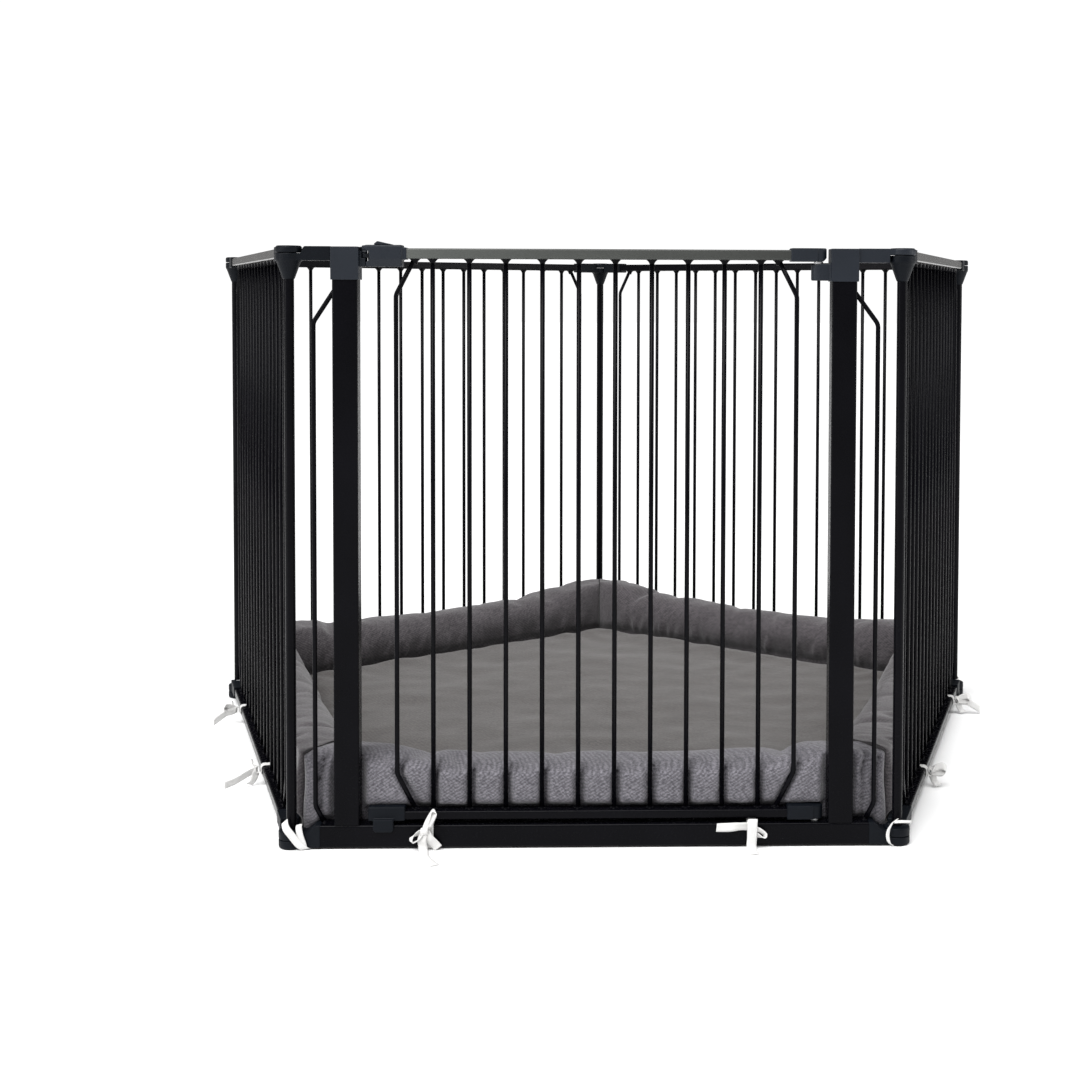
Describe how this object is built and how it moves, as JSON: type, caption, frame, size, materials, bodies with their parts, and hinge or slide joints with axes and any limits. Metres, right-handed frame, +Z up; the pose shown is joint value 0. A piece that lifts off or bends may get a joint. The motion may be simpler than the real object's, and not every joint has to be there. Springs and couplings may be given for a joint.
{
  "type": "pet gate",
  "caption": "Free-standing five-sided pet pen gate of barred steel panels hinged at the corners, with a lift-and-swing door, thumb latch, feet and a tied padded floor mat.",
  "frame": {"origin": "middle of the pen on the floor, on the underside of the mat's base pad", "axes": "+X to the right seen from the door side, +Y away from the door towards the rear corner, +Z up"},
  "size_m": [1.1872, 1.1823, 0.7103],
  "materials": {
    "black_powder_coat": "satin powder coat",
    "black_plastic": "fine-grained moulded",
    "plain_steel": "zinc plated",
    "grey_jersey": "melange jersey over foam",
    "white_tape": "plain-woven cotton tape"
  },
  "bodies": {
    "gate_frame": {"threshold_bar": "black_powder_coat", "latch_post": "black_powder_coat", "hinge_post": "black_powder_coat", "latch_post_cap": "black_plastic", "hinge_post_cap": "black_plastic", "filler_rods": "black_powder_coat", "front_corner_tube": "black_powder_coat", "front_cone_connector": "black_plastic", "front_cap_connector": "black_plastic", "front_start_foot": "black_plastic", "front_end_foot": "black_plastic", "mat_base": "grey_jersey", "mat_bumpers": "grey_jersey", "front_ties": "white_tape"},
    "door_pins": {"hinge_pins": "plain_steel"},
    "door": {"door_top_rail": "black_powder_coat", "door_bottom_rail": "black_powder_coat", "door_bars": "black_powder_coat", "door_end_bars": "black_powder_coat", "upper_hinge_sleeve": "black_plastic", "lower_hinge_shoe": "black_plastic", "latch_housing": "black_plastic", "latch_shoe": "black_plastic", "latch_spring": "plain_steel"},
    "latch_slide": {"latch_slider": "black_plastic"},
    "right_side": {"right_side_top_rail": "black_powder_coat", "right_side_bottom_rail": "black_powder_coat", "right_side_bars": "black_powder_coat", "right_side_corner_tube": "black_powder_coat", "right_side_cone_connector": "black_plastic", "right_side_cap_connector": "black_plastic", "right_side_start_foot": "black_plastic", "right_side_end_foot": "black_plastic", "right_side_ties": "white_tape"},
    "rear_right": {"rear_right_top_rail": "black_powder_coat", "rear_right_bottom_rail": "black_powder_coat", "rear_right_bars": "black_powder_coat", "rear_right_corner_tube": "black_powder_coat", "rear_right_cone_connector": "black_plastic", "rear_right_cap_connector": "black_plastic", "rear_right_start_foot": "black_plastic", "rear_right_end_foot": "black_plastic"},
    "rear_left": {"rear_left_top_rail": "black_powder_coat", "rear_left_bottom_rail": "black_powder_coat", "rear_left_bars": "black_powder_coat", "rear_left_corner_tube": "black_powder_coat", "rear_left_cone_connector": "black_plastic", "rear_left_cap_connector": "black_plastic", "rear_left_start_foot": "black_plastic", "rear_left_end_foot": "black_plastic"},
    "left_side": {"left_side_top_rail": "black_powder_coat", "left_side_bottom_rail": "black_powder_coat", "left_side_bars": "black_powder_coat", "left_side_corner_tube": "black_powder_coat", "left_side_cone_connector": "black_plastic", "left_side_cap_connector": "black_plastic", "left_side_start_foot": "black_plastic", "left_side_end_foot": "black_plastic", "left_side_ties": "white_tape"}
  },
  "joints": [
    {"name": "door_swing", "type": "hinge", "parent": "gate_frame", "child": "door_pins", "pos_m": [0.2588, -0.49206, 0], "axis": [0, 0, 1], "range_deg": [0, 90]},
    {"name": "door_lift", "type": "slide", "parent": "door_pins", "child": "door", "axis": [0, 0, 1], "range_m": [0, 0.008]},
    {"name": "latch_slide", "type": "slide", "parent": "door", "child": "latch_slide", "axis": [1, 0, 0], "range_m": [0, 0.006], "stiffness_N_per_m": 120, "springref_m": -0.002, "deforming": ["latch_spring"]},
    {"name": "right_side_fold", "type": "hinge", "parent": "gate_frame", "child": "right_side", "pos_m": [0.3575, -0.49206, 0], "axis": [0, 0, -1], "range_deg": [0, 72]},
    {"name": "rear_right_fold", "type": "hinge", "parent": "right_side", "child": "rear_right", "pos_m": [0.57845, 0.18795, 0], "axis": [0, 0, -1], "range_deg": [0, 72]},
    {"name": "left_side_fold", "type": "hinge", "parent": "gate_frame", "child": "left_side", "pos_m": [-0.3575, -0.49206, 0], "axis": [0, 0, 1], "range_deg": [0, 72]},
    {"name": "rear_left_fold", "type": "hinge", "parent": "left_side", "child": "rear_left", "pos_m": [-0.57845, 0.18795, 0], "axis": [0, 0, 1], "range_deg": [0, 72]}
  ]
}
